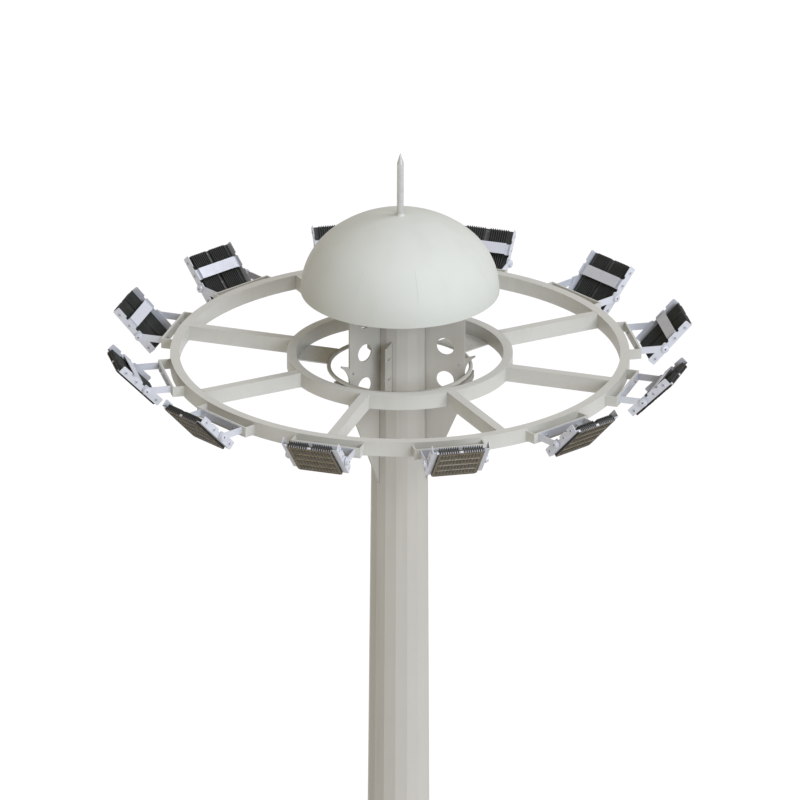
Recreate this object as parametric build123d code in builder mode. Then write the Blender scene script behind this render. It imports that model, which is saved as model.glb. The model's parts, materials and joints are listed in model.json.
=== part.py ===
"""High mast floodlight tower with a lowering ring.

A sixteen-sided tapered steel mast stands on a bolted base flange. Its head carries three guide
fins, a dome and a lightning rod. A ring carriage hangs round the mast just below the dome: two
concentric rings joined by spokes, a guide hoop that runs past the fins, and floodlights round the
outside, each tilting in its own yoke.

Millimetres, +Z up. The origin is the centre of the underside of the base flange. One floodlight
looks along +X.
"""

from build123d import *
from math import atan2, cos, degrees, hypot, pi, radians, sin, tan
import os

# Fits shared by all pieces
seat = 0.3  # gap between pieces that bear on each other over curved or tapered faces
running_gap = 5.5  # gap between pieces that move past each other

# Levels
ring_level = 28600  # top face of the ring carriage in its raised place
dome_rise = 438  # rim of the dome above the ring carriage
pole_rise = 520  # top of the pole above the ring carriage

# Pole
pole_sides = 16
pole_turn = 4  # corner of the pole measured from +X, degrees
pole_head_radius = 178  # over the corners, at the top
pole_taper = 0.0068  # growth of that radius for each millimetre down
lower_wall = 8
middle_wall = 7
upper_wall = 6
lower_length = 10400
middle_length = 10600
slip_length = 1050

# Base
flange_diameter = 1100
flange_thickness = 40
anchor_count = 16
anchor_circle = 960
anchor_hole = 42
gusset_thickness = 16
gusset_height = 320
gusset_reach = 135
gusset_lip = 30
head_plate_thickness = 12

# Service door
door_width = 300
door_height = 900
door_sill = 520
door_rim = 14
door_rim_depth = 60
door_proud = 26
door_leaf_thickness = 6
door_leaf_margin = 10
door_corner = 60
door_angle = 270

# Head fins and what is fixed to them
fin_count = 3
fin_angle = 90
fin_reach = 445
fin_thickness = 12
fin_root = 120
fin_straight_drop = 268
fin_taper_angle = 23
fin_hole = 120
fin_hole_radius = 312
fin_hole_levels = (315, 80, -155)
tab_thickness = 10
tab_reach = 516
tab_top = 40
tab_root_top = 13
tab_bottom = -87
tab_nose = 12
tab_hollow = 16
guide_plate_angle = 240
guide_plate_reach = 300
guide_plate_thickness = 10
guide_plate_top = 137
guide_plate_bottom = -290
guide_plate_slot = 60
guide_plate_slot_width = 14
guide_plate_slot_levels = (45, -97)

# Dome and lightning rod
dome_radius = 649
dome_height = 530
dome_knuckle_radius = 460
dome_wall = 5
rod_diameter = 45
rod_rise = 436
rod_tip = 70
rod_point = 4

# Ring carriage
bar_width = 60
bar_height = 100
outer_ring_diameter = 3000
inner_ring_diameter = 1475
spoke_count = 8
spoke_angle = 15
hoop_radius = 464
hoop_bar = 27
hoop_drop = 101
arm_angle = 30
arm_width = 252
arm_thickness = 8
arm_bolt = 14
arm_bolt_radius = 555
arm_bolt_offset = 70
shoe_angle = 28
shoe_height = 46
shoe_outer_radius = 486

# Floodlights
lamp_count = 12
lamp_tilt = 46
pivot_drop = 47
bracket_length = 472
bracket_height = 68
bracket_thickness = 10
bracket_reach = 63
bracket_drop = 4
yoke_bar = 6
yoke_height = 46
yoke_length = 165
yoke_eye = 29
pivot_pin = 16
pivot_play = 0.3
pivot_boss = 40
pivot_head = 48
pivot_head_height = 13
lamp_width = 378
lamp_web = 4
lamp_outer_end = 232
lamp_inner_end = -132
panel_width = 302
panel_front = -45
panel_outer_end = 228
panel_corner = 14
frame_front = -28
frame_lip = 3
plate_back = 25
plate_inner_back = 28
plate_corner = 6
notch_floor = 12
outer_notch = (131, 150)
inner_notch = (32, 54)
cover_width = 308
cover_top = 23
cover_sheet = 3
cover_margin = 1
sink_top = 2
sink_base = 5
sink_fins = 9
sink_fin = 4
sink_channel = 36
sink_width = 284
bezel = 9
bezel_depth = 3
lens_rows = 4
lens_row_gap = 8
lens_row_depth = 2

# Derived places
dome_level = ring_level + dome_rise
pole_top = ring_level + pole_rise
lower_top = flange_thickness + lower_length
middle_bottom = lower_top - slip_length
middle_top = middle_bottom + middle_length
upper_bottom = middle_top - slip_length
corner_factor = 1 / cos(pi / pole_sides)
outer_ring_inner_radius = outer_ring_diameter / 2 - bar_width
inner_ring_inner_radius = inner_ring_diameter / 2 - bar_width
ring_bottom = ring_level - bar_height
bar_middle = ring_level - bar_height / 2
hoop_level = ring_level - hoop_drop
bracket_face = outer_ring_diameter / 2 + bracket_reach
pivot_radius = bracket_face + yoke_length
pivot_level = ring_level - pivot_drop
web_inner = lamp_width / 2 - lamp_web
front_flange_width = web_inner - panel_width / 2
bracket_middle = bar_middle - bracket_drop
cover_start = inner_notch[1] + cover_margin
cover_end = outer_notch[0] - cover_margin
arm_inner = lamp_width / 2 + running_gap
arm_outer = arm_inner + yoke_bar

os.makedirs("parts", exist_ok=True)


def save(part, label):
    part.label = label
    export_step(part, f"parts/{label}.step")


def around(angle, radius=0.0, level=0.0):
    """Upright plane through the mast's axis: local x points outwards, local y points up."""
    outward = Vector(cos(radians(angle)), sin(radians(angle)), 0)
    return Plane(
        origin=outward * radius + Vector(0, 0, level),
        x_dir=outward,
        z_dir=Vector(sin(radians(angle)), -cos(radians(angle)), 0),
    )


def facing(angle, radius, level):
    """Upright plane square to the mast's radius: local z points outwards, local y points up."""
    outward = Vector(cos(radians(angle)), sin(radians(angle)), 0)
    return Plane(
        origin=outward * radius + Vector(0, 0, level),
        x_dir=Vector(-sin(radians(angle)), cos(radians(angle)), 0),
        z_dir=outward,
    )


# Pole -------------------------------------------------------------------------------------------


def upper_radius(level):
    return pole_head_radius + pole_taper * (pole_top - level)


def middle_radius(level):
    return upper_radius(level) - (upper_wall + seat) * corner_factor


def lower_radius(level):
    return middle_radius(level) - (middle_wall + seat) * corner_factor


def tapered_prism(radius_at, bottom, top, growth=0.0):
    """Tapered sixteen-sided prism between two levels, its flats moved out by growth."""
    with BuildPart() as prism:
        for level in (bottom, top):
            with BuildSketch(Plane.XY.offset(level)):
                corner_radius = radius_at(level) + growth * corner_factor
                RegularPolygon(corner_radius, pole_sides, rotation=pole_turn)
        loft()
    return prism.part


def door_outline(margin):
    """Door-shaped rounded rectangle, larger than the clear opening by margin all round."""
    RectangleRounded(
        door_width + 2 * margin, door_height + 2 * margin, door_corner + margin
    )


door_middle = door_sill + door_height / 2
door_flat = lower_radius(door_middle) / corner_factor
door_face = door_flat + door_proud

with BuildPart() as lower_pole:
    add(tapered_prism(lower_radius, flange_thickness, lower_top))
    add(tapered_prism(lower_radius, flange_thickness, lower_top, -lower_wall), mode=Mode.SUBTRACT)
    with BuildSketch(facing(door_angle, 0, door_middle)):
        door_outline(door_rim + seat)
    extrude(amount=2 * door_flat, mode=Mode.SUBTRACT)
save(lower_pole.part, "lower_pole")

with BuildPart() as middle_pole:
    add(tapered_prism(middle_radius, middle_bottom, middle_top))
    add(tapered_prism(middle_radius, middle_bottom, middle_top, -middle_wall), mode=Mode.SUBTRACT)
save(middle_pole.part, "middle_pole")

with BuildPart() as upper_pole:
    add(tapered_prism(upper_radius, upper_bottom, pole_top))
    add(tapered_prism(upper_radius, upper_bottom, pole_top, -upper_wall), mode=Mode.SUBTRACT)
save(upper_pole.part, "upper_pole")

with BuildPart() as head_plate:
    with BuildSketch(Plane.XY.offset(pole_top)):
        RegularPolygon(pole_head_radius, pole_sides, rotation=pole_turn)
    extrude(amount=head_plate_thickness)
save(head_plate.part, "head_plate")

# Base -------------------------------------------------------------------------------------------

with BuildPart() as base_flange:
    with BuildSketch(Plane.XY):
        Circle(flange_diameter / 2)
        with PolarLocations(anchor_circle / 2, anchor_count):
            Circle(anchor_hole / 2, mode=Mode.SUBTRACT)
    extrude(amount=flange_thickness)
save(base_flange.part, "base_flange")

gusset_foot = flange_diameter / 2 - gusset_lip
gusset_top = flange_thickness + gusset_height
lower_envelope = tapered_prism(lower_radius, 0, 2 * gusset_top, seat)

with BuildPart() as base_gussets:
    for number in range(anchor_count):
        with BuildSketch(around((number + 0.5) * 360 / anchor_count)):
            with BuildLine():
                Polyline(
                    (gusset_foot - gusset_reach - gusset_lip, flange_thickness),
                    (gusset_foot, flange_thickness),
                    (gusset_foot, flange_thickness + gusset_lip),
                    (lower_radius(gusset_top) + gusset_lip, gusset_top),
                    (gusset_foot - gusset_reach - gusset_lip, gusset_top),
                    close=True,
                )
            make_face()
        extrude(amount=gusset_thickness / 2, both=True)
    add(lower_envelope, mode=Mode.SUBTRACT)
save(base_gussets.part, "base_gussets")

with BuildPart() as door_frame:
    with BuildSketch(facing(door_angle, door_face - door_rim_depth, door_middle)):
        door_outline(door_rim)
        RectangleRounded(door_width, door_height, door_corner, mode=Mode.SUBTRACT)
    extrude(amount=door_rim_depth)
save(door_frame.part, "door_frame")

with BuildPart() as service_door:
    with BuildSketch(facing(door_angle, door_face, door_middle)):
        door_outline(door_rim + door_leaf_margin)
    extrude(amount=door_leaf_thickness)
save(service_door.part, "service_door")

# Dome and lightning rod -------------------------------------------------------------------------

knuckle_middle = dome_radius - dome_knuckle_radius
crown_radius = (knuckle_middle**2 + dome_height**2 - dome_knuckle_radius**2) / (
    2 * (dome_height - dome_knuckle_radius)
)
crown_middle = dome_height - crown_radius
crown_start = degrees(atan2(-crown_middle, knuckle_middle))


def dome_profile(inset):
    """Half section of the dome, crown and knuckle, with its outline moved in by inset."""
    with BuildSketch() as profile:
        with BuildLine():
            knuckle = CenterArc((knuckle_middle, 0), dome_knuckle_radius - inset, 0, crown_start)
            crown = CenterArc(
                (0, crown_middle), crown_radius - inset, crown_start, 90 - crown_start
            )
            Polyline(crown @ 1, (0, 0), knuckle @ 0)
        make_face()
    return profile.sketch


with BuildPart() as dome_cap:
    with BuildSketch(around(0, level=dome_level)):
        add(dome_profile(0))
        add(dome_profile(dome_wall), mode=Mode.SUBTRACT)
    revolve(axis=Axis.Z)
    with BuildSketch(Plane.XY.offset(dome_level)):
        Circle(rod_diameter / 2 + seat)
    extrude(amount=2 * dome_height, mode=Mode.SUBTRACT)
save(dome_cap.part, "dome_cap")

rod_foot = pole_top + head_plate_thickness
rod_top = dome_level + dome_height + rod_rise

with BuildPart() as lightning_rod:
    with BuildSketch(Plane.XY.offset(rod_foot)):
        Circle(rod_diameter / 2)
    extrude(amount=rod_top - rod_foot)
    chamfer(lightning_rod.faces().sort_by(Axis.Z)[-1].edges(), rod_tip, (rod_diameter - rod_point) / 2)
save(lightning_rod.part, "lightning_rod")

# Head fins, stop tabs and guide plate -----------------------------------------------------------

fin_bottom = fin_straight_drop + (fin_reach - fin_root) / tan(radians(fin_taper_angle))
head_envelope = tapered_prism(
    upper_radius, ring_level - 2 * fin_bottom, rod_foot + seat, seat
)

with BuildPart() as head_fins:
    for number in range(fin_count):
        angle = fin_angle + number * 360 / fin_count
        with BuildSketch(around(angle, level=dome_level)):
            add(dome_profile(dome_wall + seat))
            with BuildLine():
                Polyline(
                    (0, 0),
                    (fin_reach, 0),
                    (fin_reach, -dome_rise - fin_straight_drop),
                    (fin_root, -dome_rise - fin_bottom),
                    (0, -dome_rise - fin_bottom),
                    close=True,
                )
            make_face()
            with Locations(((fin_root + fin_reach) / 2, 0)):
                Rectangle(fin_reach - fin_root, 4 * fin_bottom, mode=Mode.INTERSECT)
            holes = [(fin_hole_radius, level - dome_rise) for level in fin_hole_levels]
            with Locations(*holes):
                Circle(fin_hole / 2, mode=Mode.SUBTRACT)
        extrude(amount=fin_thickness / 2, both=True)
    add(head_envelope, mode=Mode.SUBTRACT)
save(head_fins.part, "head_fins")

with BuildPart() as stop_tabs:
    for number in range(fin_count):
        angle = fin_angle + number * 360 / fin_count
        with BuildSketch(around(angle, level=ring_level)):
            with BuildLine():
                hollow = SagittaArc(
                    (tab_reach, tab_top - tab_nose), (fin_reach, tab_bottom), -tab_hollow
                )
                Polyline(
                    hollow @ 1,
                    (fin_reach, tab_root_top),
                    (tab_reach, tab_top),
                    hollow @ 0,
                )
            make_face()
        extrude(amount=tab_thickness / 2, both=True)
save(stop_tabs.part, "stop_tabs")

with BuildPart() as guide_plates:
    with BuildSketch(around(guide_plate_angle, level=ring_level)):
        middle = ((fin_root + guide_plate_reach) / 2, (guide_plate_top + guide_plate_bottom) / 2)
        with Locations(middle):
            Rectangle(guide_plate_reach - fin_root, guide_plate_top - guide_plate_bottom)
        slot_radius = guide_plate_reach - guide_plate_slot
        with Locations(*[(slot_radius, level) for level in guide_plate_slot_levels]):
            SlotOverall(guide_plate_slot, guide_plate_slot_width, mode=Mode.SUBTRACT)
    extrude(amount=guide_plate_thickness / 2, both=True)
    add(head_envelope, mode=Mode.SUBTRACT)
save(guide_plates.part, "guide_plates")

# Ring carriage ----------------------------------------------------------------------------------


def ring(diameter):
    with BuildPart() as band:
        with BuildSketch(Plane.XY.offset(ring_bottom)):
            Circle(diameter / 2)
            Circle(diameter / 2 - bar_width, mode=Mode.SUBTRACT)
        extrude(amount=bar_height)
    return band.part


save(ring(outer_ring_diameter), "outer_ring")
save(ring(inner_ring_diameter), "inner_ring")

with BuildPart() as spokes:
    with BuildSketch(Plane.XY.offset(ring_bottom)):
        with PolarLocations(outer_ring_diameter / 4, spoke_count, start_angle=spoke_angle):
            Rectangle(outer_ring_diameter / 2, bar_width)
        Circle(outer_ring_inner_radius - seat, mode=Mode.INTERSECT)
        Circle(inner_ring_diameter / 2 + seat, mode=Mode.SUBTRACT)
    extrude(amount=bar_height)
save(spokes.part, "spokes")

with BuildPart() as guide_hoop:
    with BuildSketch(around(0, hoop_radius, hoop_level)):
        Circle(hoop_bar / 2)
    revolve(axis=Axis.Z)
save(guide_hoop.part, "guide_hoop")

with BuildPart() as hoop_arms:
    with BuildSketch(Plane.XY.offset(ring_bottom)):
        with PolarLocations(arm_bolt_radius, fin_count, start_angle=arm_angle):
            Rectangle(2 * (inner_ring_inner_radius - arm_bolt_radius), arm_width)
        Circle(inner_ring_inner_radius - seat, mode=Mode.INTERSECT)
        Circle(hoop_radius + hoop_bar / 2 + seat, mode=Mode.SUBTRACT)
        with PolarLocations(arm_bolt_radius, fin_count, start_angle=arm_angle):
            with Locations((0, arm_bolt_offset), (0, -arm_bolt_offset)):
                Circle(arm_bolt / 2, mode=Mode.SUBTRACT)
    extrude(amount=arm_thickness)
save(hoop_arms.part, "hoop_arms")

shoe_top = hoop_level - hoop_bar / 2 - seat
shoe_inner_radius = hypot(fin_reach, fin_thickness / 2) + seat

with BuildPart() as guide_shoes:
    for number in range(fin_count):
        angle = fin_angle + number * 360 / fin_count
        start = around(angle - shoe_angle / 2)
        with BuildSketch(start):
            with Locations(((shoe_inner_radius + shoe_outer_radius) / 2, shoe_top - shoe_height / 2)):
                Rectangle(shoe_outer_radius - shoe_inner_radius, shoe_height)
        revolve(axis=Axis.Z, revolution_arc=shoe_angle)
save(guide_shoes.part, "guide_shoes")

lamp_angles = [number * 360 / lamp_count for number in range(lamp_count)]

with BuildPart() as lamp_brackets:
    for angle in lamp_angles:
        with BuildSketch(facing(angle, bracket_face, bracket_middle)):
            Rectangle(bracket_length, bracket_height)
        extrude(amount=-bracket_thickness)
        with BuildSketch(facing(angle, bracket_face - bracket_thickness, bracket_middle)):
            stub_place = (bracket_length - bracket_thickness) / 2
            with Locations((stub_place, 0), (-stub_place, 0)):
                Rectangle(bracket_thickness, bracket_height)
        extrude(amount=-(bracket_face - bracket_thickness - outer_ring_inner_radius))
    with BuildSketch(Plane.XY.offset(bracket_middle)):
        Circle(outer_ring_diameter / 2 + seat)
    extrude(amount=bracket_height, both=True, mode=Mode.SUBTRACT)
save(lamp_brackets.part, "lamp_brackets")

with BuildPart() as lamp_yokes:
    for angle in lamp_angles:
        with BuildSketch(facing(angle, bracket_face, pivot_level)):
            Rectangle(2 * arm_outer, yoke_height)
        extrude(amount=yoke_bar)
        for side in (arm_inner, -arm_outer):
            with BuildSketch(around(angle, pivot_radius, pivot_level).offset(side)):
                with Locations((-yoke_length / 2, 0)):
                    Rectangle(yoke_length, yoke_height)
                Circle(yoke_eye)
                Circle(pivot_pin / 2 + pivot_play, mode=Mode.SUBTRACT)
            extrude(amount=yoke_bar)
save(lamp_yokes.part, "lamp_yokes")

# Floodlights ------------------------------------------------------------------------------------


def lamp_plane(angle):
    """Plane of one floodlight at its pivot: x runs along the pivot, y along the lamp's length
    towards its outer end, and z from the light panel to the cooling fins."""
    outward = Vector(cos(radians(angle)), sin(radians(angle)), 0)
    tilt = radians(lamp_tilt)
    return Plane(
        origin=outward * pivot_radius + Vector(0, 0, pivot_level),
        x_dir=Vector(sin(radians(angle)), -cos(radians(angle)), 0),
        z_dir=outward * -sin(tilt) + Vector(0, 0, cos(tilt)),
    )


def side_plane(lamp, place):
    """Plane of a floodlight's side: local x runs along its length, local y towards its fins."""
    return Plane(origin=lamp.origin + lamp.x_dir * place, x_dir=lamp.y_dir, z_dir=lamp.x_dir)


def lamp_frame(lamp):
    """Side plates with notched back edges, front flanges and pivot bolts, joined by the cover."""
    with BuildPart() as frame:
        with BuildSketch(side_plane(lamp, web_inner)) as plate:
            with BuildLine():
                Polyline(
                    (lamp_inner_end, frame_front),
                    (lamp_outer_end, frame_front),
                    (lamp_outer_end, plate_back),
                    (outer_notch[1], plate_back),
                    (outer_notch[1], notch_floor),
                    (outer_notch[0], notch_floor),
                    (outer_notch[0], plate_back),
                    (inner_notch[1], plate_back),
                    (inner_notch[1], notch_floor),
                    (inner_notch[0], notch_floor),
                    (inner_notch[0], plate_inner_back),
                    (lamp_inner_end, plate_inner_back),
                    close=True,
                )
            make_face()
            chamfer([corner for corner in plate.vertices() if corner.Y > notch_floor + seat], plate_corner)
        extrude(amount=lamp_web)
        with BuildSketch(lamp.offset(frame_front)):
            flange_middle = (lamp_inner_end + lamp_outer_end) / 2
            with Locations((web_inner - front_flange_width / 2, flange_middle)):
                Rectangle(front_flange_width, lamp_outer_end - lamp_inner_end)
        extrude(amount=frame_lip)
        with BuildSketch(side_plane(lamp, lamp_width / 2)):
            Circle(pivot_boss / 2)
        extrude(amount=running_gap - seat)
        with BuildSketch(side_plane(lamp, lamp_width / 2)):
            Circle(pivot_pin / 2)
        extrude(amount=arm_outer + seat - lamp_width / 2)
        with BuildSketch(side_plane(lamp, arm_outer + seat)):
            Circle(pivot_head / 2)
        extrude(amount=pivot_head_height)
        mirror(about=Plane(origin=lamp.origin, z_dir=lamp.x_dir))
        cover_middle = (cover_start + cover_end) / 2
        cover_length = cover_end - cover_start
        for width, height, mode in (
            (2 * web_inner, cover_sheet, Mode.ADD),
            (cover_width, cover_top - sink_top, Mode.ADD),
            (cover_width - 2 * cover_sheet, cover_top - sink_top - cover_sheet, Mode.SUBTRACT),
        ):
            with BuildSketch(lamp.offset(sink_top)):
                with Locations((0, cover_middle)):
                    Rectangle(width, cover_length)
            extrude(amount=height, mode=mode)
    return frame.part


def lamp_heat_sink(lamp):
    """Base plate between the side plates, with two columns of cooling fins and a channel between."""
    length = lamp_outer_end - lamp_inner_end
    middle = (lamp_outer_end + lamp_inner_end) / 2
    base_front = frame_front + frame_lip
    column = (sink_width - sink_channel) / 2
    pitch = (column - sink_fin) / (sink_fins - 1)
    with BuildPart() as sink:
        with BuildSketch(lamp.offset(base_front)):
            with Locations((0, middle)):
                Rectangle(2 * web_inner, length)
        extrude(amount=sink_base)
        with BuildSketch(lamp.offset(base_front + sink_base)):
            for side in (1, -1):
                with Locations((side * (sink_width - column) / 2, middle)):
                    with GridLocations(pitch, 0, sink_fins, 1):
                        Rectangle(sink_fin, length)
        extrude(amount=sink_top - base_front - sink_base)
    return sink.part


def lamp_led_panel(lamp):
    """Light panel: a framed plate with raised rows of lenses."""
    length = panel_outer_end - lamp_inner_end
    middle = (panel_outer_end + lamp_inner_end) / 2
    clear_length = length - 2 * bezel
    row = (clear_length - (lens_rows + 1) * lens_row_gap) / lens_rows
    depth = frame_front + frame_lip - panel_front
    with BuildPart() as panel:
        with BuildSketch(lamp.offset(panel_front)) as outline:
            with Locations((0, middle)):
                Rectangle(panel_width, length)
            chamfer(outline.vertices().group_by(Axis.Y)[0], panel_corner)
        extrude(amount=depth)
        with BuildSketch(lamp.offset(panel_front)):
            with Locations((0, middle)):
                Rectangle(panel_width - 2 * bezel, clear_length)
        extrude(amount=bezel_depth, mode=Mode.SUBTRACT)
        with BuildSketch(lamp.offset(panel_front + bezel_depth)):
            with Locations((0, middle)):
                with GridLocations(0, row + lens_row_gap, 1, lens_rows):
                    Rectangle(panel_width - 2 * bezel - 2 * lens_row_gap, row)
        extrude(amount=-lens_row_depth)
    return panel.part


for number, angle in enumerate(lamp_angles, start=1):
    lamp = lamp_plane(angle)
    save(lamp_frame(lamp), f"lamp_{number:02}_frame")
    save(lamp_heat_sink(lamp), f"lamp_{number:02}_heat_sink")
    save(lamp_led_panel(lamp), f"lamp_{number:02}_led_panel")
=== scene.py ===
"""High mast floodlight tower: materials, fastenings, weld beads, lens grids, floor, light, camera."""

import bmesh
import bpy
import json
from math import atan2, cos, hypot, pi, radians, sin, tau
from mathutils import Matrix, Vector
from mathutils.bvhtree import BVHTree


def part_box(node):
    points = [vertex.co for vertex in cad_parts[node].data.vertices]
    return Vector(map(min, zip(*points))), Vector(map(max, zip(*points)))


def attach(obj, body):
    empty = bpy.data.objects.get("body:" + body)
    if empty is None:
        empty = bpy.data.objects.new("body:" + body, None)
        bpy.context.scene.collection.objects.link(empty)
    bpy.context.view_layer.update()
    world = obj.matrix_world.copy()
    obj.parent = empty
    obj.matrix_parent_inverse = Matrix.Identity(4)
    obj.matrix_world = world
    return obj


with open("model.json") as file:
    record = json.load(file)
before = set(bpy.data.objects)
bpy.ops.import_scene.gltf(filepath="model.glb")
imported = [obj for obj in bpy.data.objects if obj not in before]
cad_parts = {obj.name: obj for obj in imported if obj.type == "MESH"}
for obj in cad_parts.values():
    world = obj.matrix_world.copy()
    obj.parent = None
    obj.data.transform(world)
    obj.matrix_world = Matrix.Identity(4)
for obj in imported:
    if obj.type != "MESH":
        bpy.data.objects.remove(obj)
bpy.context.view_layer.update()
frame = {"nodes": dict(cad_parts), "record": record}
nodes = frame["nodes"]

# Places and sizes of the object, in metres ----------------------------------------------------

RING_BOTTOM, RING_LEVEL = (corner.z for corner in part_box("outer_ring"))
OUTER_RING_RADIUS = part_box("outer_ring")[1].x
INNER_RING_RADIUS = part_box("inner_ring")[1].x
BAR_WIDTH = 0.06
SPOKE_COUNT = 8
SPOKE_ANGLES = [radians(15 + 360 / SPOKE_COUNT * index) for index in range(SPOKE_COUNT)]

# Foot of the mast, and its service door.
FLANGE_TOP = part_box("base_flange")[1].z
ANCHOR_COUNT = 16
ANCHOR_CIRCLE = 0.96
GUSSET_FOOT = 0.52
GUSSET_HALF = 0.008
GUSSET_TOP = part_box("base_gussets")[1].z
DOOR_LOW, DOOR_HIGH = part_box("service_door")

# Head of the mast. FIN_HEAD stays just below the pole's top edge, where the fins' beads end.
DOME_LEVEL, DOME_TOP = (corner.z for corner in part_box("dome_cap"))
FIN_ANGLES = [radians(angle) for angle in (90, 210, 330)]
FIN_HALF = 0.006
FIN_REACH = 0.445
FIN_FOOT = RING_LEVEL - 0.88
FIN_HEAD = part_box("upper_pole")[1].z - 0.002
GUIDE_PLATE_ANGLE = radians(240)
GUIDE_PLATE_HALF = 0.005

# Hoop arms of the carriage.
ARM_ANGLES = [radians(angle) for angle in (30, 150, 270)]
ARM_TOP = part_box("hoop_arms")[1].z
ARM_HALF = 0.126
HOOP_EDGE = 0.4785

# Brackets and yokes of the lamps: the bracket's flat face, and its two stubs on the outer ring.
BRACKET_LOW, BRACKET_HIGH = (corner.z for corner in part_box("lamp_brackets"))
BRACKET_FACE = 1.563
BRACKET_THICKNESS = 0.01
STUB_OFFSET = 0.231
STUB_HALF = 0.005
YOKE_BAR = 0.006

# Lamps, in their own frame: see lamp_matrix.
LAMP_COUNT = 12
LAMP_TILT = radians(46)
SIDE_FACE = 0.189
PIVOT_FACE = 0.2138
ROW_FACE = -0.044
SINK_FLOOR = -0.02


# Materials ------------------------------------------------------------------------------------


def linear(red, green, blue):
    """Scene-linear colour of an 8-bit display colour."""
    channels = []
    for value in (red, green, blue):
        share = value / 255
        channels.append(share / 12.92 if share <= 0.04045 else ((share + 0.055) / 1.055) ** 2.4)
    return (*channels, 1.0)


def dimmed(colour, share):
    """Colour with its brightness cut to a share of it."""
    return (*(share * channel for channel in colour[:3]), 1.0)


class Finish:
    """A procedural material built round one Principled shader."""

    def __init__(self, name, roughness, metallic=0.0, **values):
        self.material = bpy.data.materials.new(name)
        self.material.use_nodes = True
        self.tree = self.material.node_tree
        self.shader = self.tree.nodes["Principled BSDF"]
        self.shader.inputs["Metallic"].default_value = metallic
        self.shader.inputs["Roughness"].default_value = roughness
        for socket, value in values.items():
            self.shader.inputs[socket.replace("_", " ")].default_value = value
        self.place = self.node("ShaderNodeTexCoord").outputs["Object"]

    def node(self, kind, **inputs):
        """New shader node with its inputs set or linked."""
        made = self.tree.nodes.new(kind)
        for socket, value in inputs.items():
            self.feed(made.inputs[socket.replace("_", " ")], value)
        return made

    def feed(self, socket, value):
        """Link a socket to another one, or set it to a value."""
        if isinstance(value, bpy.types.NodeSocket):
            self.tree.links.new(value, socket)
        else:
            socket.default_value = value

    def noise(self, scale, detail=4.0, roughness=0.55, stretch=(1, 1, 1)):
        """Noise in the object's own space, in cells a metre."""
        mapping = self.node("ShaderNodeMapping", Vector=self.place, Scale=stretch)
        made = self.node(
            "ShaderNodeTexNoise",
            Vector=mapping.outputs["Vector"],
            Scale=scale,
            Detail=detail,
            Roughness=roughness,
        )
        return made.outputs["Fac"]

    def remap(self, value, low, high, to_low=0.0, to_high=1.0):
        """Value stretched from one range to another."""
        made = self.node("ShaderNodeMapRange", Value=value)
        for socket, number in zip(("From Min", "From Max", "To Min", "To Max"), (low, high, to_low, to_high)):
            made.inputs[socket].default_value = number
        return made.outputs["Result"]

    def mix(self, share, first, second):
        """Colour between two others. The Mix node's colour sockets are its inputs 6 and 7."""
        made = self.tree.nodes.new("ShaderNodeMix")
        made.data_type = "RGBA"
        for socket, value in zip((made.inputs[0], made.inputs[6], made.inputs[7]), (share, first, second)):
            self.feed(socket, value)
        return made.outputs[2]

    def complete(self, colour, roughness=None, height=None, strength=0.2, distance=0.002):
        """Material with its colour, roughness and bump set on the shader."""
        self.feed(self.shader.inputs["Base Color"], colour)
        if roughness is not None:
            self.feed(self.shader.inputs["Roughness"], roughness)
        if height is not None:
            bump = self.node("ShaderNodeBump", Height=height)
            bump.inputs["Strength"].default_value = strength
            bump.inputs["Distance"].default_value = distance
            self.feed(self.shader.inputs["Normal"], bump.outputs["Normal"])
        return self.material


def painted_steel(name, base, stain, streak_length, wear):
    """Satin paint over galvanised steel: slow tone drift, rain streaks, dust and orange-peel texture."""
    finish = Finish(name, 0.5, 0.0, Specular_IOR_Level=0.35)
    drift = finish.noise(1.7, 3)
    streaks = finish.noise(9.0, 5, 0.6, (1, 1, 1 / streak_length))
    specks = finish.noise(60.0, 6, 0.65)
    colour = finish.mix(finish.remap(drift, 0.35, 0.7), base, dimmed(base, 0.96))
    colour = finish.mix(finish.remap(streaks, 0.52, 0.8, 0.0, wear), colour, stain)
    colour = finish.mix(finish.remap(specks, 0.62, 0.78, 0.0, 0.6 * wear), colour, stain)
    peel = finish.noise(420.0, 2)
    return finish.complete(colour, finish.remap(streaks, 0.3, 0.8, 0.42, 0.62), peel, 0.12, 0.0006)


def galvanised(name, base, scale=55.0):
    """Hot-dip zinc with its spangle and a dulled patina."""
    finish = Finish(name, 0.5, 0.35)
    cells = finish.node("ShaderNodeTexVoronoi", Vector=finish.place, Scale=scale)
    spangle = finish.node("ShaderNodeSeparateColor", Color=cells.outputs["Color"]).outputs["Red"]
    patina = finish.noise(14.0, 5)
    dark = dimmed(base, 0.84)
    colour = finish.mix(finish.remap(spangle, 0.0, 1.0, 0.0, 0.55), base, dark)
    colour = finish.mix(finish.remap(patina, 0.45, 0.75, 0.0, 0.45), colour, dark)
    return finish.complete(colour, finish.remap(spangle, 0.0, 1.0, 0.36, 0.56), patina, 0.15, 0.001)


def shell(name, base, shade):
    """Moulded shell with a satin gel coat: faint runs down its sides and dust specks all over."""
    finish = Finish(name, 0.62, 0.0, Specular_IOR_Level=0.3)
    drift = finish.noise(2.4, 3)
    runs = finish.noise(7.0, 4, 0.5, (1, 1, 0.12))
    specks = finish.noise(45.0, 6, 0.7)
    colour = finish.mix(finish.remap(drift, 0.38, 0.66), base, dimmed(base, 0.975))
    colour = finish.mix(finish.remap(runs, 0.5, 0.8, 0.0, 0.16), colour, shade)
    colour = finish.mix(finish.remap(specks, 0.64, 0.8, 0.0, 0.12), colour, shade)
    return finish.complete(colour, finish.remap(runs, 0.3, 0.8, 0.56, 0.7), finish.noise(3.1, 2), 0.15, 0.004)


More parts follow.
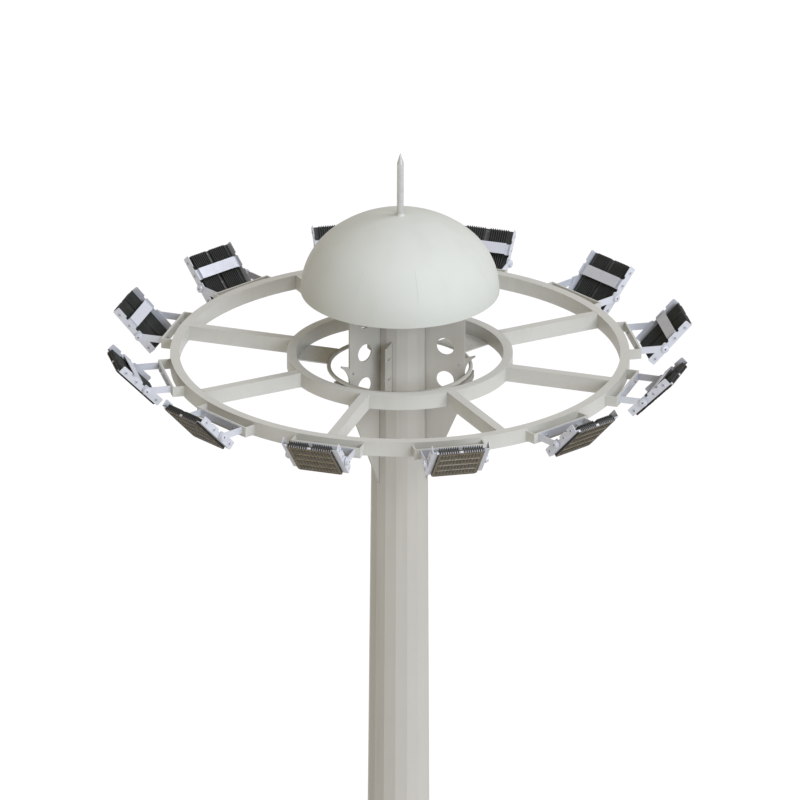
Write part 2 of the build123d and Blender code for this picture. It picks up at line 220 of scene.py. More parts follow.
def powder_coat(name, base, grime, metallic=0.25):
    """Powder-coated aluminium: fine grain, handling marks and grime gathered in patches."""
    finish = Finish(name, 0.42, metallic, Specular_IOR_Level=0.45)
    patches = finish.noise(16.0, 5, 0.6)
    grain = finish.noise(700.0, 2)
    scuffs = finish.noise(90.0, 6, 0.75, (1, 1, 0.35))
    colour = finish.mix(finish.remap(patches, 0.45, 0.75, 0.0, 0.35), base, grime)
    colour = finish.mix(finish.remap(scuffs, 0.6, 0.78, 0.0, 0.35), colour, grime)
    return finish.complete(colour, finish.remap(patches, 0.3, 0.8, 0.34, 0.5), grain, 0.1, 0.0003)


def anodised(name, base, dust):
    """Matt black anodised fins with dust on them."""
    finish = Finish(name, 0.55, 0.2)
    patches = finish.noise(12.0, 5, 0.65)
    grain = finish.noise(260.0, 4)
    colour = finish.mix(finish.remap(patches, 0.42, 0.72, 0.0, 0.7), base, dust)
    colour = finish.mix(finish.remap(grain, 0.55, 0.75, 0.0, 0.4), colour, dust)
    return finish.complete(colour, finish.remap(patches, 0.3, 0.8, 0.5, 0.72), grain, 0.15, 0.0004)


def lens_plate(name, base, dark):
    """Moulded lens plate, slightly uneven in tone from its weathering."""
    finish = Finish(name, 0.3, 0.0, Coat_Weight=0.3, Coat_Roughness=0.15)
    patches = finish.noise(22.0, 4, 0.6)
    grain = finish.noise(180.0, 3)
    colour = finish.mix(finish.remap(patches, 0.4, 0.7), base, dark)
    return finish.complete(colour, finish.remap(patches, 0.3, 0.8, 0.22, 0.4), grain, 0.1, 0.0004)


def rubber(name, base, dust):
    """Matt rubber with dust in its grain."""
    finish = Finish(name, 0.75, 0.0, Specular_IOR_Level=0.3)
    patches = finish.noise(30.0, 5, 0.6)
    grain = finish.noise(300.0, 3)
    colour = finish.mix(finish.remap(patches, 0.45, 0.72, 0.0, 0.6), base, dust)
    return finish.complete(colour, finish.remap(patches, 0.3, 0.8, 0.65, 0.85), grain, 0.3, 0.0006)


mast_paint = painted_steel(
    "mast_paint", linear(182, 180, 172), linear(150, 145, 131), streak_length=14, wear=0.26
)
carriage_paint = painted_steel(
    "carriage_paint", linear(193, 193, 186), linear(158, 155, 143), streak_length=5, wear=0.2
)
dome_coat = shell("dome_coat", linear(196, 199, 192), linear(174, 172, 156))
zinc = galvanised("zinc", linear(194, 195, 191))
bolt_zinc = galvanised("bolt_zinc", linear(180, 182, 184), scale=160.0)
# Darker beads, which draw dark lines where the fins and the guide plate meet the pole.
darker_weld = painted_steel(
    "darker_weld", linear(150, 147, 138), linear(112, 106, 94), streak_length=6, wear=0.5
)
weld_paint = painted_steel(
    "weld_paint", linear(188, 186, 179), linear(144, 138, 124), streak_length=6, wear=0.4
)
lamp_coat = powder_coat("lamp_coat", linear(201, 204, 211), linear(182, 184, 190), metallic=0.12)
sink_coat = anodised("sink_coat", linear(56, 59, 57), linear(74, 76, 72))
plate_coat = lens_plate("plate_coat", linear(107, 98, 76), linear(88, 80, 60))
ridge_coat = lens_plate("ridge_coat", linear(138, 129, 109), linear(116, 108, 88))
lens_glass = lens_plate("lens_glass", linear(50, 45, 35), linear(34, 31, 24))
channel_coat = anodised("channel_coat", linear(84, 84, 81), linear(104, 104, 98))
wall_coat = anodised("wall_coat", linear(190, 188, 190), linear(168, 166, 168))
# Black of the comb's teeth, and painted shade on the collar round the lens panel.
black_and_painted_shade = anodised("black_and_painted_shade", linear(30, 28, 25), linear(52, 48, 42))
# Painted shade in the sockets and cross recesses of the screws and caps.
dark_painted_recess_shade = anodised("dark_painted_recess_shade", linear(34, 34, 36), linear(60, 58, 56))
grey_painted_recess_shade = anodised("grey_painted_recess_shade", linear(84, 85, 90), linear(100, 100, 104))
shoe_rubber = rubber("shoe_rubber", linear(160, 157, 150), linear(134, 129, 120))

coats = {
    "mast_steel": mast_paint,
    "carriage_steel": carriage_paint,
    "dome_shell": dome_coat,
    "rod_steel": zinc,
    "lamp_alloy": lamp_coat,
    "sink_black": sink_coat,
    "led_panel": plate_coat,
    "shoe_rubber": shoe_rubber,
}
for part in frame["record"]["subparts"]:
    slots = nodes[part["node"]].data.materials
    slots.clear()
    slots.append(coats[part["material_slot"]])


# Mesh tools -----------------------------------------------------------------------------------

SKEW = Vector((0.31, 0.17, 0.93))  # no weld bead runs along it


def round_loop(made, radius, height, sides):
    """Loop of new vertices round Z."""
    turns = [tau * i / sides for i in range(sides)]
    return [made.verts.new((radius * cos(turn), radius * sin(turn), height)) for turn in turns]


def band(made, low, high, material=0):
    """Faces between two closed loops with the same number of vertices."""
    count = len(low)
    for i in range(count):
        face = made.faces.new((low[i], low[(i + 1) % count], high[(i + 1) % count], high[i]))
        face.material_index = material


def lathe(profile, sides, materials=None):
    """Bmesh of a profile of (radius, height) points turned round Z, closed at its ends."""
    made = bmesh.new()
    loops = [round_loop(made, radius, height, sides) for radius, height in profile]
    for row, (low, high) in enumerate(zip(loops, loops[1:])):
        band(made, low, high, materials[row] if materials else 0)
    made.faces.new(list(reversed(loops[0])))
    cap = made.faces.new(loops[-1])
    if materials:
        cap.material_index = materials[-1]
    return made


def as_mesh(name, made):
    """Mesh datablock made from a bmesh, which is freed."""
    made.normal_update()
    mesh = bpy.data.meshes.new(name)
    made.to_mesh(mesh)
    made.free()
    return mesh


def join(parts):
    """One bmesh from several."""
    whole = bmesh.new()
    for part in parts:
        mesh = as_mesh("part", part)
        whole.from_mesh(mesh)
        bpy.data.meshes.remove(mesh)
    return whole


def hexagon_bolt(across, head, washer, washer_height=0.003, stud=0.0):
    """Hexagon head or nut with chamfered corners on a round washer, and the stud's end above it."""
    corner = across / (2 * cos(pi / 6))
    parts = [
        lathe([(washer, 0), (washer, 0.8 * washer_height), (0.95 * washer, washer_height)], 20),
        lathe(
            [
                (corner, washer_height),
                (corner, washer_height + 0.86 * head),
                (0.9 * corner, washer_height + head),
            ],
            6,
        ),
    ]
    if stud:
        shank = across * 0.32
        top = washer_height + head + stud
        parts.append(lathe([(shank, washer_height), (shank, top - 0.15 * shank), (0.85 * shank, top)], 14))
    return join(parts)


def cross_screw(radius, height, arm, width):
    """Pan-head screw with a cross recess, whose walls and floor have the second material, a painted shade."""
    made = bmesh.new()
    sides = 24
    shape = ((radius, 0), (radius, 0.45 * height), (0.82 * radius, height))
    loops = [round_loop(made, *point, sides) for point in shape]
    for low, high in zip(loops, loops[1:]):
        band(made, low, high)
    made.faces.new(list(reversed(loops[0])))
    outline = []
    for quarter in range(4):
        for x, y in ((width, width), (width, arm), (-width, arm)):
            outline.append(Matrix.Rotation(quarter * pi / 2, 3, "Z") @ Vector((x, y, 0)))
    top = [made.verts.new((p.x, p.y, height)) for p in outline]
    floor = [made.verts.new((0.8 * p.x, 0.8 * p.y, 0.35 * height)) for p in outline]
    count = len(outline)
    rim = [made.edges.new((top[i], top[(i + 1) % count])) for i in range(count)]
    ring = [made.edges.get((loops[-1][i], loops[-1][(i + 1) % sides])) for i in range(sides)]
    bmesh.ops.bridge_loops(made, edges=rim + ring)
    band(made, top, floor, material=1)
    made.faces.new(floor).material_index = 1
    bmesh.ops.recalc_face_normals(made, faces=made.faces)
    return made


def stamped(name, template, places, materials, body, smooth=True):
    """Piece made of copies of a template mesh at the given matrices."""
    whole = bmesh.new()
    for place in places:
        start = len(whole.verts)
        whole.from_mesh(template)
        whole.verts.ensure_lookup_table()
        bmesh.ops.transform(whole, matrix=place, verts=whole.verts[start:])
    return piece(name, whole, materials, body, smooth)


def piece(name, made, materials, body, smooth=True):
    """Object made from a bmesh, riding on a body, with its materials in its slots."""
    obj = bpy.data.objects.new(name, as_mesh(name, made))
    bpy.context.scene.collection.objects.link(obj)
    for material in materials:
        obj.data.materials.append(material)
    if smooth:
        obj.data.shade_smooth()
        obj.data.set_sharp_from_angle(angle=radians(35))
    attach(obj, body)
    return obj


def turned(angle, radius=0.0, level=0.0):
    """Frame at a radius and level of the mast: x outwards, y round it, z up."""
    return Matrix.Rotation(angle, 4, "Z") @ Matrix.Translation((radius, 0, level))


def aimed(place, direction):
    """Matrix at a place whose z points along a direction."""
    return Matrix.Translation(place) @ Vector(direction).to_track_quat("Z", "Y").to_matrix().to_4x4()


def bead(points, radius, closed=False, sides=6, ripple=0.12, pitch=0.012):
    """Weld bead along a line of points: a low tube with the ripple of its runs."""
    made = bmesh.new()
    wrap = 1 if closed else 0
    line = []
    for start, end in zip(points, points[1:] + points[:wrap]):
        steps = max(1, round((end - start).length / pitch))
        line += [start.lerp(end, i / steps) for i in range(steps)]
    if not closed:
        line.append(points[-1])
    count = len(line)
    turns = [tau * k / sides for k in range(sides)]
    loops = []
    for i, point in enumerate(line):
        before = line[i - 1] if i or closed else point
        after = line[(i + 1) % count] if i < count - 1 or closed else point
        along = (after - before).normalized()
        across = along.cross(SKEW).normalized()
        up = across.cross(along)
        size = radius * (1 + ripple * (1 if i % 2 else -1))
        loops.append([made.verts.new(point + size * (cos(turn) * across + sin(turn) * up)) for turn in turns])
    for low, high in zip(loops, loops[1:] + loops[:wrap]):
        band(made, low, high)
    if not closed:
        made.faces.new(loops[0])
        made.faces.new(loops[-1])
    bmesh.ops.recalc_face_normals(made, faces=made.faces)
    return made


# Mast -----------------------------------------------------------------------------------------


def polar(angle, radius, level, across=0.0):
    """Point at a radius and level of the mast, moved sideways by across."""
    return Matrix.Rotation(angle, 3, "Z") @ Vector((radius, across, level))


def skin(node):
    """Search tree of a CAD node's surface, to lay weld beads on."""
    made = bmesh.new()
    made.from_mesh(nodes[node].data)
    tree = BVHTree.FromBMesh(made)
    made.free()
    return tree


def wall_point(tree, angle, level, across=0.0):
    """Point on a pole's or the dome's outside, met from outside along a radius of the mast."""
    start = polar(angle, 1.0, level, across)
    return tree.ray_cast(start, polar(angle, -1.0, 0.0))[0]


def beads(name, lines, radius, material, body, pitch=0.012):
    """Piece made of weld beads, one along each line of points."""
    parts = [bead(line, radius, pitch=pitch) for line in lines]
    return piece(name, join(parts), [material], body)


# Each nut stands turned by this much, in radians, against the one before it.
NUT_TURN = 0.37

# Weld beads: the points round the foot, gaps to the plates, and how far beads stop short of ends.
FOOT_POINTS = 64
FOOT_BEAD_RISE = 0.002
GUSSET_BEAD_RISE = 0.012
GUSSET_BEAD_END = 0.008
GUSSET_BEAD_EDGE = 0.006
FIN_BEAD_GAP = 0.0015
PLATE_BEAD_GAP = 0.001
PLATE_BEAD_END = 0.004
TAB_HALF = 0.0048
TAB_LEVELS = (-0.082, 0.01)

# Bolts near the fins' outer edges, the rod's sleeve, and the two creases in the dome.
FIN_BOLT_RADIUS = 0.413
FIN_BOLT_DROP = 0.04
SLEEVE_SINK = 0.0015
SLEEVE_SHAPE = ((0.009, 0), (0.006, 0.0035), (0.0025, 0.009), (0.0008, 0.018))
CREASE_ANGLES = [radians(angle) for angle in (-129, -91)]
CREASE_START = 0.16
CREASE_STEP = 0.02
CREASE_POINTS = 10

foot_skin = skin("lower_pole")
head_skin = skin("upper_pole")

anchor_nut = as_mesh(
    "anchor_nut", hexagon_bolt(across=0.055, head=0.029, washer=0.033, washer_height=0.006, stud=0.032)
)
anchors = [
    turned(tau * index / ANCHOR_COUNT, ANCHOR_CIRCLE / 2, FLANGE_TOP)
    @ Matrix.Rotation(NUT_TURN * index, 4, "Z")
    for index in range(ANCHOR_COUNT)
]
stamped("anchor_nuts", anchor_nut, anchors, [bolt_zinc], "mast")

foot_turns = [tau * index / FOOT_POINTS for index in range(FOOT_POINTS)]
foot_ring = [wall_point(foot_skin, turn, FLANGE_TOP + FOOT_BEAD_RISE) for turn in foot_turns]
foot_bead = bead(foot_ring, radius=0.007, closed=True)
piece("foot_weld", foot_bead, [weld_paint], "mast")

gusset_lines = []
for index in range(ANCHOR_COUNT):
    angle = tau * (index + 0.5) / ANCHOR_COUNT
    for side in (GUSSET_HALF, -GUSSET_HALF):
        foot = wall_point(foot_skin, angle, FLANGE_TOP + GUSSET_BEAD_RISE, side)
        top = wall_point(foot_skin, angle, GUSSET_TOP - GUSSET_BEAD_END, side)
        gusset_lines.append([foot, top])
        start = Vector((foot.x, foot.y, FLANGE_TOP))
        gusset_lines.append([start, polar(angle, GUSSET_FOOT - GUSSET_BEAD_EDGE, FLANGE_TOP, side)])
beads("gusset_welds", gusset_lines, 0.0045, weld_paint, "mast")

fin_lines = []
for angle in FIN_ANGLES:
    for side in (FIN_HALF + FIN_BEAD_GAP, -FIN_HALF - FIN_BEAD_GAP):
        fin_lines.append([wall_point(head_skin, angle, level, side) for level in (FIN_FOOT, FIN_HEAD)])
beads("fin_welds", fin_lines, 0.0038, darker_weld, "mast")

plate_lines = []
plate_low, plate_high = (corner.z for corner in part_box("guide_plates"))
for side in (GUIDE_PLATE_HALF + PLATE_BEAD_GAP, -GUIDE_PLATE_HALF - PLATE_BEAD_GAP):
    levels = (plate_low + PLATE_BEAD_END, plate_high - PLATE_BEAD_END)
    plate_lines.append([wall_point(head_skin, GUIDE_PLATE_ANGLE, level, side) for level in levels])
beads("guide_plate_welds", plate_lines, 0.003, darker_weld, "mast")

tab_lines = []
for angle in FIN_ANGLES:
    for side in (TAB_HALF, -TAB_HALF):
        tab_lines.append([polar(angle, FIN_REACH, RING_LEVEL + level, side) for level in TAB_LEVELS])
beads("tab_welds", tab_lines, 0.0026, weld_paint, "mast")

steel_bolt = as_mesh("steel_bolt", hexagon_bolt(across=0.015, head=0.006, washer=0.0095, washer_height=0.002))
fin_bolts = []
for angle in FIN_ANGLES:
    for side in (1, -1):
        place = polar(angle, FIN_BOLT_RADIUS, RING_LEVEL - FIN_BOLT_DROP, side * FIN_HALF)
        fin_bolts.append(aimed(place, polar(angle, 0, 0, side)))
stamped("fin_bolts", steel_bolt, fin_bolts, [bolt_zinc], "mast")

rod_radius = (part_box("lightning_rod")[1].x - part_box("lightning_rod")[0].x) / 2
sleeve = lathe([(rod_radius + wall, height) for wall, height in SLEEVE_SHAPE], sides=32)
bmesh.ops.translate(sleeve, vec=Vector((0, 0, DOME_TOP - SLEEVE_SINK)), verts=sleeve.verts)
piece("rod_sleeve", sleeve, [dome_coat], "mast")

shell_skin = skin("dome_cap")
crease_levels = [DOME_LEVEL + CREASE_START + CREASE_STEP * step for step in range(CREASE_POINTS)]
creases = [[wall_point(shell_skin, angle, level) for level in crease_levels] for angle in CREASE_ANGLES]
beads("dome_creases", creases, 0.0016, dome_coat, "mast", pitch=0.02)

# Service door ---------------------------------------------------------------------------------

DOOR_EDGE = 0.01
DOOR_CORNER = 0.075
FRAME_GAP = 0.003
FRAME_STEP = 0.02
SCREW_INSET = 0.045
SCREW_LEVELS = (0.36, 0.0, -0.36)


def round_corners(low, high, radius, steps=6):
    """Outline of a rectangle with round corners, as (across, up) points."""
    points = []
    corners = ((high[0], high[1], 0), (low[0], high[1], 1), (low[0], low[1], 2), (high[0], low[1], 3))
    for x, z, quarter in corners:
        middle_x = x - radius if quarter in (0, 3) else x + radius
        middle_z = z - radius if quarter in (0, 1) else z + radius
        for step in range(steps + 1):
            angle = (quarter + step / steps) * pi / 2
            points.append((middle_x + radius * cos(angle), middle_z + radius * sin(angle)))
    return points


frame_low = (DOOR_LOW.x + DOOR_EDGE - FRAME_GAP, DOOR_LOW.z + DOOR_EDGE - FRAME_GAP)
frame_high = (DOOR_HIGH.x - DOOR_EDGE + FRAME_GAP, DOOR_HIGH.z - DOOR_EDGE + FRAME_GAP)
door_ring = []
outline = round_corners(frame_low, frame_high, DOOR_CORNER)
for (x, z), (next_x, next_z) in zip(outline, outline[1:] + outline[:1]):
    steps = max(1, round(hypot(next_x - x, next_z - z) / FRAME_STEP))
    for step in range(steps):
        share = step / steps
        start = Vector((x + (next_x - x) * share, -1, z + (next_z - z) * share))
        door_ring.append(foot_skin.ray_cast(start, Vector((0, 1, 0)))[0])
door_bead = bead(door_ring, radius=0.004, closed=True)
piece("door_frame_weld", door_bead, [weld_paint], "mast")

# Low round cap with a socket in it, for the door's screws and the lamps' pivot bolts. The socket's wall and
# floor take the second material, a painted shade.
socket_profile = [(0.0215, 0), (0.0215, 0.0012), (0.0203, 0.002), (0.0062, 0.002), (0.0054, 0.0004)]
socket_cap = as_mesh("socket_cap", lathe(socket_profile, 28, (0, 0, 0, 1)))
door_middle = (DOOR_LOW.z + DOOR_HIGH.z) / 2
door_screws = [
    aimed((across, DOOR_LOW.y, door_middle + level), (0, -1, 0))
    for across in (DOOR_LOW.x + SCREW_INSET, DOOR_HIGH.x - SCREW_INSET)
    for level in SCREW_LEVELS
]
stamped("door_screws", socket_cap, door_screws, [bolt_zinc, dark_painted_recess_shade], "mast")

# Ring carriage --------------------------------------------------------------------------------

YOKE_BOLT_OFFSET = 0.13
SPOKE_BEAD_DROP = 0.001
STUB_BEAD_GAP = 0.001
STUB_BEAD_END = 0.002
ARM_BEAD_SPREAD = 0.012
ARM_BEAD_STEPS = 8

spoke_lines = []
half = BAR_WIDTH / 2
for angle in SPOKE_ANGLES:
    for radius in (OUTER_RING_RADIUS - BAR_WIDTH, INNER_RING_RADIUS):
        corner = hypot(radius, half) - radius
        reach = radius - corner
        spoke_lines.append(
            [
                polar(angle, reach, RING_BOTTOM, half),
                polar(angle, reach, RING_LEVEL - SPOKE_BEAD_DROP, half),
                polar(angle, reach, RING_LEVEL - SPOKE_BEAD_DROP, -half),
                polar(angle, reach, RING_BOTTOM, -half),
            ]
        )
beads("spoke_welds", spoke_lines, 0.003, weld_paint, "carriage")

stub_lines = []
for index in range(LAMP_COUNT):
    angle = tau * index / LAMP_COUNT
    for middle in (STUB_OFFSET, -STUB_OFFSET):
        for side in (STUB_HALF + STUB_BEAD_GAP, -STUB_HALF - STUB_BEAD_GAP):
            across = middle + side
            reach = (OUTER_RING_RADIUS**2 - across**2) ** 0.5
            levels = (BRACKET_LOW + STUB_BEAD_END, BRACKET_HIGH - STUB_BEAD_END)
            stub_lines.append([polar(angle, reach, level, across) for level in levels])
beads("bracket_welds", stub_lines, 0.003, weld_paint, "carriage")

arm_lines = []
for angle in ARM_ANGLES:
    for radius in (HOOP_EDGE, INNER_RING_RADIUS - BAR_WIDTH):
        spread = atan2(ARM_HALF, radius) - ARM_BEAD_SPREAD
        steps = range(-ARM_BEAD_STEPS, ARM_BEAD_STEPS + 1)
        turns = [angle + spread * step / ARM_BEAD_STEPS for step in steps]
        arm_lines.append([polar(turn, radius, ARM_TOP) for turn in turns])
beads("arm_welds", arm_lines, 0.003, weld_paint, "carriage")

yoke_bolts = []
bracket_middle = (BRACKET_LOW + BRACKET_HIGH) / 2
for index in range(LAMP_COUNT):
    angle = tau * index / LAMP_COUNT
    outward = polar(angle, 1, 0)
    for across in (YOKE_BOLT_OFFSET, -YOKE_BOLT_OFFSET):
        head = polar(angle, BRACKET_FACE + YOKE_BAR, bracket_middle, across)
        nut = polar(angle, BRACKET_FACE - BRACKET_THICKNESS, bracket_middle, across)
        yoke_bolts.append(aimed(head, outward))
        yoke_bolts.append(aimed(nut, -outward))
stamped("yoke_bolts", steel_bolt, yoke_bolts, [bolt_zinc], "carriage")

# Lamps ----------------------------------------------------------------------------------------


def lamp_matrix(index):
    """Lamp frame at its pivot: x along the pivot, y along the lamp to its outer end, z to the fins."""
    angle = tau * index / LAMP_COUNT
    outward = Vector((cos(angle), sin(angle), 0))
    along_pivot = Vector((sin(angle), -cos(angle), 0))
    back = -sin(LAMP_TILT) * outward + cos(LAMP_TILT) * Vector((0, 0, 1))
    length = back.cross(along_pivot)
    made = Matrix((along_pivot, length, back)).transposed().to_4x4()
    made.translation = pivots[f"lamp_{index + 1:02}"]
    return made


def offset(outline, amount):
    """Closed outline moved outwards by an amount, its corners mitred."""
    moved = []
    for before, point, after in zip(outline[-1:] + outline[:-1], outline, outline[1:] + outline[:1]):
        first = (point - before).normalized()
        second = (after - point).normalized()
        normals = (Vector((first.y, -first.x)), Vector((second.y, -second.x)))
        middle = (normals[0] + normals[1]).normalized()
        moved.append(point + middle * amount / middle.dot(normals[0]))
    return moved


def swept_frame(outline, section):
    """Closed frame: a section of (outward, height) points carried round an outline."""
    made = bmesh.new()
    loops = []
    for outward, height in section:
        loops.append([made.verts.new((point.x, point.y, height)) for point in offset(outline, outward)])
    for low, high in zip(loops, loops[1:] + loops[:1]):
        band(made, low, high)
    bmesh.ops.recalc_face_normals(made, faces=made.faces)
    return made


def tapered_block(width, length, height, shoulder, top_share):
    """Rectangular block whose upper part tapers in, from z 0 up."""
    made = bmesh.new()
    loops = []
    for share, level in ((1, 0), (1, shoulder), (top_share, height)):
        inset = (1 - share) * min(width, length) / 2
        x = width / 2 - inset
        y = length / 2 - inset
        loops.append([made.verts.new((*corner, level)) for corner in ((-x, -y), (x, -y), (x, y), (-x, y))])
    for low, high in zip(loops, loops[1:]):
        band(made, low, high)
    made.faces.new(list(reversed(loops[0])))
    made.faces.new(loops[-1])
    return made


def toothed_comb(places, thickness, section):
    """Row of thin teeth: one (along, height) section at each place across."""
    parts = []
    for place in places:
        made = bmesh.new()
        sides = []
        for x in (place - thickness / 2, place + thickness / 2):
            sides.append([made.verts.new((x, y, z)) for y, z in section])
        band(made, *sides)
        made.faces.new(list(reversed(sides[0])))
        made.faces.new(sides[1])
        bmesh.ops.recalc_face_normals(made, faces=made.faces)
        parts.append(made)
    return join(parts)


# The record's first joint is the carriage's lift. The others are the lamps' pivots.
pivots = {joint["child"]: Vector(joint["pos_m"]) for joint in frame["record"]["behaviour"]["joints"][1:]}

side_screw = as_mesh("side_screw", cross_screw(radius=0.0128, height=0.004, arm=0.0112, width=0.0016))
small_screw = as_mesh("small_screw", cross_screw(radius=0.005, height=0.0028, arm=0.0035, width=0.001))
lens = as_mesh(
    "lens", tapered_block(width=0.0145, length=0.0215, height=0.0045, shoulder=0.0022, top_share=0.62)
)
ridge = as_mesh(
    "ridge", tapered_block(width=0.268, length=0.0045, height=0.006, shoulder=0.003, top_share=0.5)
)
clip = as_mesh("clip", tapered_block(width=0.012, length=0.007, height=0.012, shoulder=0.009, top_share=0.7))

# The panel, and the dark collar and toothed end wall that stand round it. The collar's black is painted shade
# on the panel's side walls and outer end, where shade falls.
PANEL_HALF = 0.151
PANEL_INNER = -0.132
PANEL_OUTER = 0.228
PANEL_CORNER = 0.014
COLLAR_BACK = -0.0279
COLLAR_INSIDE = -0.003
WALL_FRONT = -0.0432
WALL_FACE = 0.0008
WALL_HALF = PANEL_HALF - 0.004
WALL_DEPTH = 0.02
TOOTH_PITCH = 0.015
TOOTH_FIRST = 0.02
TOOTH_COUNT = 9
TOOTH_ROOT = 0.2272
TOOTH_TIP = 0.2335
TOOTH_BACK = -0.0262

collar_outline = [
    Vector((-PANEL_HALF, PANEL_INNER + PANEL_CORNER)),
    Vector((-PANEL_HALF + PANEL_CORNER, PANEL_INNER)),
    Vector((PANEL_HALF - PANEL_CORNER, PANEL_INNER)),
    Vector((PANEL_HALF, PANEL_INNER + PANEL_CORNER)),
    Vector((PANEL_HALF, PANEL_OUTER)),
    Vector((-PANEL_HALF, PANEL_OUTER)),
]
collar_section = [
    (COLLAR_INSIDE, -0.0415),
    (COLLAR_INSIDE, -0.0453),
    (-0.0015, -0.0453),
    (0.0004, -0.0436),
    (0.0004, COLLAR_BACK),
    (COLLAR_INSIDE, COLLAR_BACK),
]
collar = as_mesh("collar", swept_frame(collar_outline, collar_section))

wall_outline = [
    Vector((-WALL_HALF, PANEL_OUTER - WALL_DEPTH)),
    Vector((WALL_HALF, PANEL_OUTER - WALL_DEPTH)),
    Vector((WALL_HALF, PANEL_OUTER)),
    Vector((-WALL_HALF, PANEL_OUTER)),
]
wall_section = [
    (WALL_FACE, WALL_FRONT),
    (WALL_FACE, COLLAR_BACK),
    (COLLAR_INSIDE, COLLAR_BACK),
    (COLLAR_INSIDE, WALL_FRONT),
]
end_wall = as_mesh("end_wall", swept_frame(wall_outline, wall_section))

tooth_places = [
    side * (TOOTH_FIRST + TOOTH_PITCH * step) for side in (1, -1) for step in range(TOOTH_COUNT)
]
tooth_section = [
    (TOOTH_ROOT, -0.0446),
    (TOOTH_TIP, -0.0388),
    (TOOTH_TIP, TOOTH_BACK),
    (TOOTH_ROOT, TOOTH_BACK),
]
comb = as_mesh("comb", toothed_comb(tooth_places, thickness=0.0082, section=tooth_section))
channel_strip = as_mesh(
    "channel_strip", tapered_block(width=0.033, length=0.352, height=0.0016, shoulder=0.001, top_share=0.97)
)

# Places of the small pieces along each lamp.
SCREW_LEVEL = -0.003
SCREW_PLACES = (0.191, 0.0945, -0.096)
CHANNEL_LEVEL = SINK_FLOOR + 0.0012
CHANNEL_PLACES = (0.21, 0.055, 0.0, -0.11)
STRIP_SINK = 0.0002
RIDGE_SINK = 0.002
CLIP_PLACES = (0.0, 0.158)
CLIP_LENGTH = PANEL_OUTER + 0.0003
CLIP_LEVEL = -0.0405
LENS_COLUMNS = 12
LENS_PITCH = 0.0222
LENS_ROW_OFFSET = 0.0116
ROW_PITCH = 0.0835
ROW_FIRST = -0.07725
ROW_COUNT = 4

for index in range(LAMP_COUNT):
    body = f"lamp_{index + 1:02}"
    lamp = lamp_matrix(index)
    screws = []
    caps = []
    for side in (1, -1):
        caps.append(lamp @ aimed((side * PIVOT_FACE, 0, 0), (side, 0, 0)))
        for place in SCREW_PLACES:
            screws.append(lamp @ aimed((side * SIDE_FACE, place, SCREW_LEVEL), (side, 0, 0)))
    stamped(f"{body}_side_screws", side_screw, screws, [lamp_coat, grey_painted_recess_shade], body)
    stamped(f"{body}_pivot_caps", socket_cap, caps, [lamp_coat, grey_painted_recess_shade], body)
    lenses = []
    ridges = []
    for row in range(ROW_COUNT):
        middle = ROW_FIRST + row * ROW_PITCH
        if row < ROW_COUNT - 1:
            ridges.append(lamp @ aimed((0, middle + ROW_PITCH / 2, ROW_FACE + RIDGE_SINK), (0, 0, -1)))
        for across in (LENS_ROW_OFFSET, -LENS_ROW_OFFSET):
            for column in range(LENS_COLUMNS):
                x = (column - (LENS_COLUMNS - 1) / 2) * LENS_PITCH
                lenses.append(lamp @ aimed((x, middle + across, ROW_FACE), (0, 0, -1)))
    stamped(f"{body}_lenses", lens, lenses, [lens_glass], body)
    stamped(f"{body}_ridges", ridge, ridges, [ridge_coat], body)
    stamped(f"{body}_collar", collar, [lamp], [black_and_painted_shade], body, smooth=False)
    stamped(f"{body}_end_wall", end_wall, [lamp], [wall_coat], body, smooth=False)
    stamped(f"{body}_comb", comb, [lamp], [black_and_painted_shade], body, smooth=False)
    strip = lamp @ Matrix.Translation((0, (PANEL_INNER + PANEL_OUTER) / 2, SINK_FLOOR - STRIP_SINK))
    stamped(f"{body}_channel_strip", channel_strip, [strip], [channel_coat], body)
    clips = [lamp @ aimed((x, CLIP_LENGTH, CLIP_LEVEL), (0, 0, 1)) for x in CLIP_PLACES]
    stamped(f"{body}_clips", clip, clips, [lamp_coat], body, smooth=False)
    channel = [lamp @ aimed((0, y, CHANNEL_LEVEL), (0, 0, 1)) for y in CHANNEL_PLACES]
    stamped(f"{body}_channel_screws", small_screw, channel, [bolt_zinc, dark_painted_recess_shade], body)

# Floor, light and camera ----------------------------------------------------------------------

FRONT = -102.15  # azimuth that the photo is taken from, in degrees
EYE_ELEVATION = radians(23.23)
EYE_DISTANCE = 203.0
ROLL = radians(0.17)
VIEW_WIDTH = 5.22125  # metres seen across at the mast
VIEW_SHIFT = 0.00085
VIEW_DROP = 0.31634
SENSOR = 36.0
FLOOR_SIZE = 3000.0
NEAR_FLOOR = 28.0
FAR_FLOOR = 54.0


def floor_coat(name, near, far):
    """Plain matt floor: pale stone round the mast's foot, paler still further out."""
    finish = Finish(name, 0.9)
    distance = finish.node("ShaderNodeVectorMath", Vector=finish.place)
    distance.operation = "LENGTH"
    tone = finish.noise(0.05, 2)
    stone = finish.mix(finish.remap(tone, 0.3, 0.7), near, dimmed(near, 0.96))
    share = finish.remap(distance.outputs["Value"], NEAR_FLOOR, FAR_FLOOR)
    return finish.complete(finish.mix(share, stone, far))


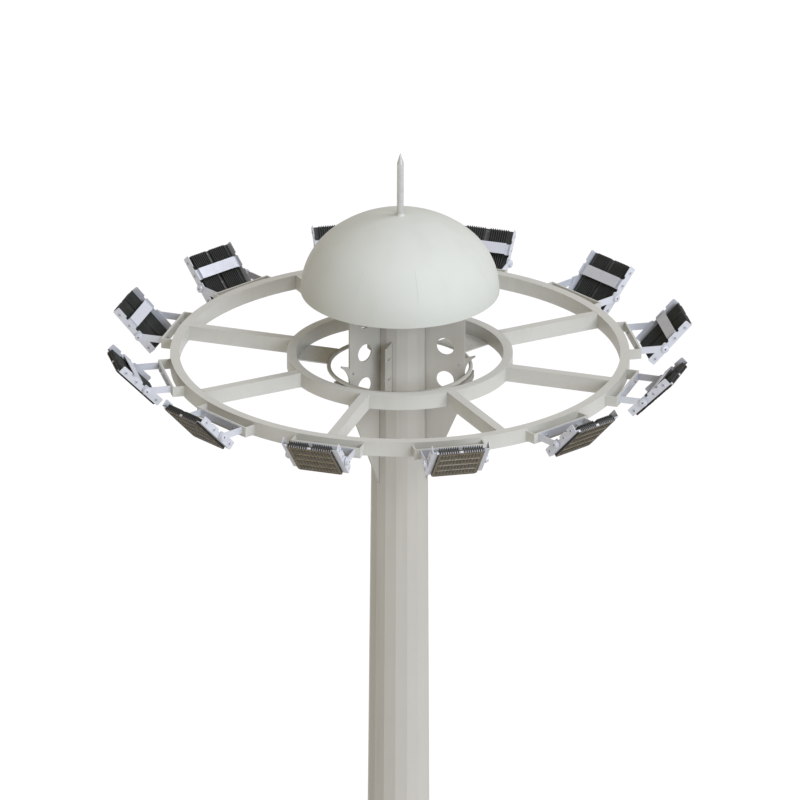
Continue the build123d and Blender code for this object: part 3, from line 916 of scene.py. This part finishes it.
bpy.ops.mesh.primitive_plane_add(size=FLOOR_SIZE)
floor = bpy.context.object
floor.name = "floor"
floor.data.materials.append(floor_coat("floor_stone", (0.50, 0.475, 0.41, 1.0), (0.99, 0.99, 0.99, 1.0)))

# A warm sky and cool suns, which together leave the near-white paint neutral.
world = bpy.data.worlds.new("studio")
bpy.context.scene.world = world
world.use_nodes = True
background = world.node_tree.nodes["Background"]
background.inputs["Color"].default_value = (1.0, 0.855, 0.575, 1.0)
background.inputs["Strength"].default_value = 0.375


def sun(name, azimuth, elevation, strength, spread, colour):
    """Sun light that comes from an azimuth and elevation, all angles in degrees."""
    light = bpy.data.lights.new(name, "SUN")
    light.energy = strength
    light.angle = radians(spread)
    light.color = colour
    obj = bpy.data.objects.new(name, light)
    away = polar(radians(azimuth), cos(radians(elevation)), sin(radians(elevation)))
    obj.rotation_euler = away.to_track_quat("Z", "Y").to_euler()
    bpy.context.scene.collection.objects.link(obj)


sun("key", FRONT + 30, elevation=20, strength=1.92, spread=30, colour=(0.806, 0.871, 1.0))
sun("side", FRONT + 90, elevation=50, strength=1.26, spread=30, colour=(0.838, 0.882, 1.0))
sun("top", FRONT, elevation=85, strength=1.08, spread=30, colour=(0.775, 0.81, 1.0))

camera_data = bpy.data.cameras.new("camera")
camera = bpy.data.objects.new("camera", camera_data)
bpy.context.scene.collection.objects.link(camera)
bpy.context.scene.camera = camera
camera_data.sensor_width = SENSOR
camera_data.lens = SENSOR * EYE_DISTANCE / VIEW_WIDTH
camera_data.clip_start = 10.0
camera_data.clip_end = 2000.0
eye = polar(radians(FRONT), cos(EYE_ELEVATION), sin(EYE_ELEVATION))
turn = eye.to_track_quat("Z", "Y").to_matrix() @ Matrix.Rotation(ROLL, 3, "Z")
right, up = turn.col[0], turn.col[1]
target = Vector((0, 0, RING_LEVEL)) + VIEW_SHIFT * right - VIEW_DROP * up
camera.location = target + EYE_DISTANCE * eye
camera.rotation_euler = turn.to_euler()

bpy.context.scene.view_settings.view_transform = "Standard"
